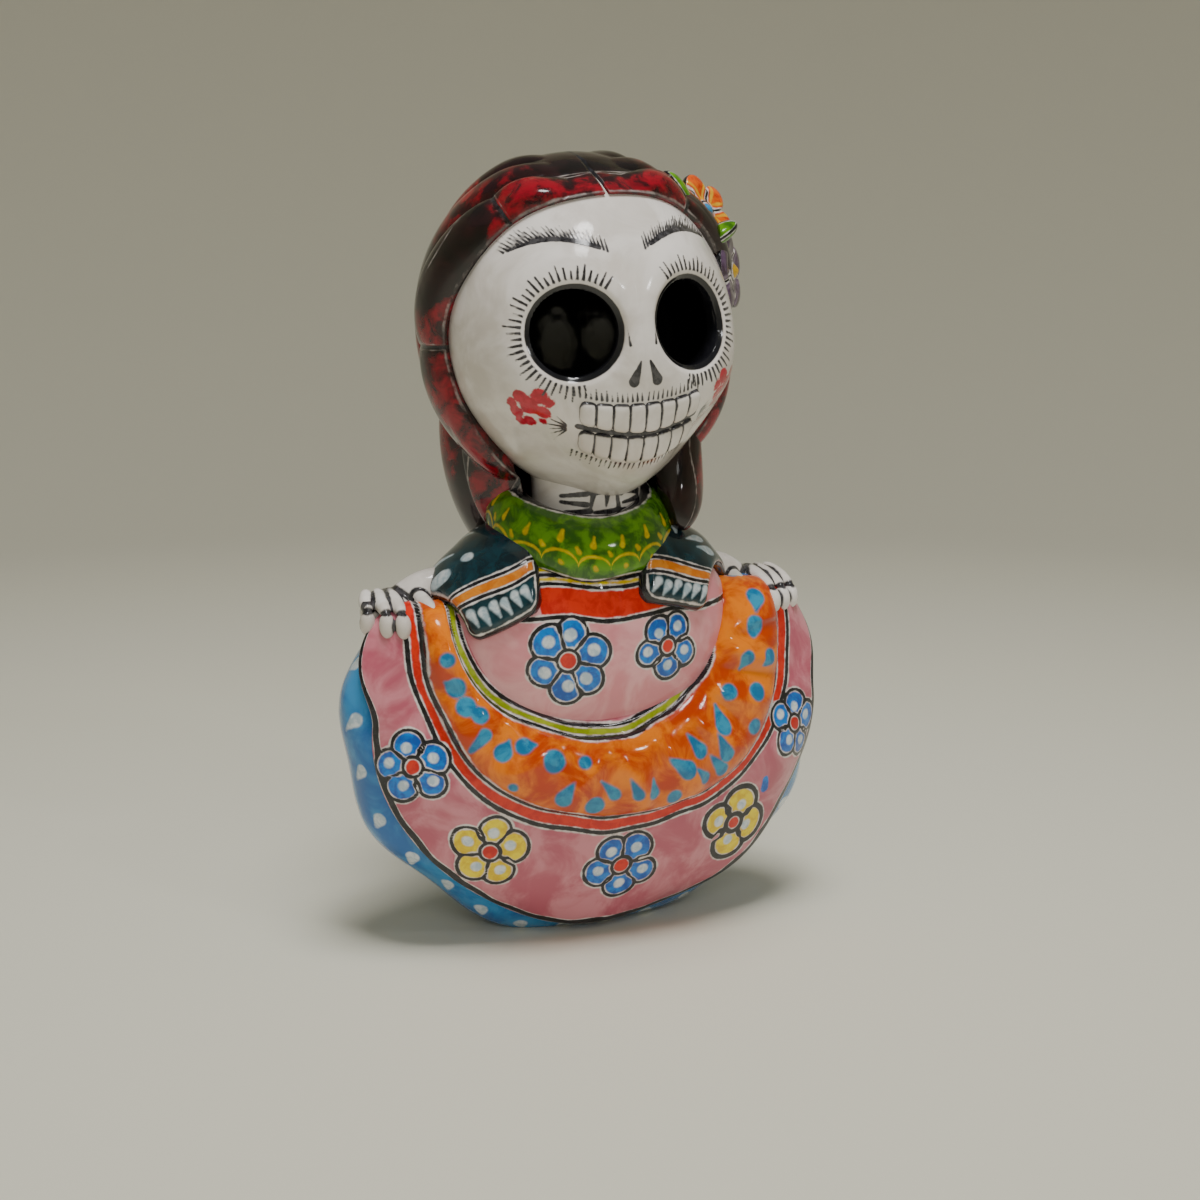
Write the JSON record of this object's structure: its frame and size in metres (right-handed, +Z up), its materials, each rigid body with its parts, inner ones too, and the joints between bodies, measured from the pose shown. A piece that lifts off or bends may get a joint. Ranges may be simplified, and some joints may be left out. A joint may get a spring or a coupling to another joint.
{
  "type": "day of the dead skeleton figure",
  "caption": "Hollow glazed earthenware figure of a skeleton lady with a round skull, long hair, hair flowers, a shawl and a spread flowered skirt, standing on a flat foot.",
  "frame": {"origin": "on the table, under the middle of the figure's bounding box", "axes": "+Z up the figure, -Y the way it looks, -X towards its right hand"},
  "size_m": [0.183, 0.1156, 0.2801],
  "materials": {
    "glazed_earthenware": "white-slipped earthenware, hand painted and covered with a glossy clear glaze"
  },
  "bodies": {
    "root": {"skeleton_figure": "glazed_earthenware"}
  },
  "joints": []
}
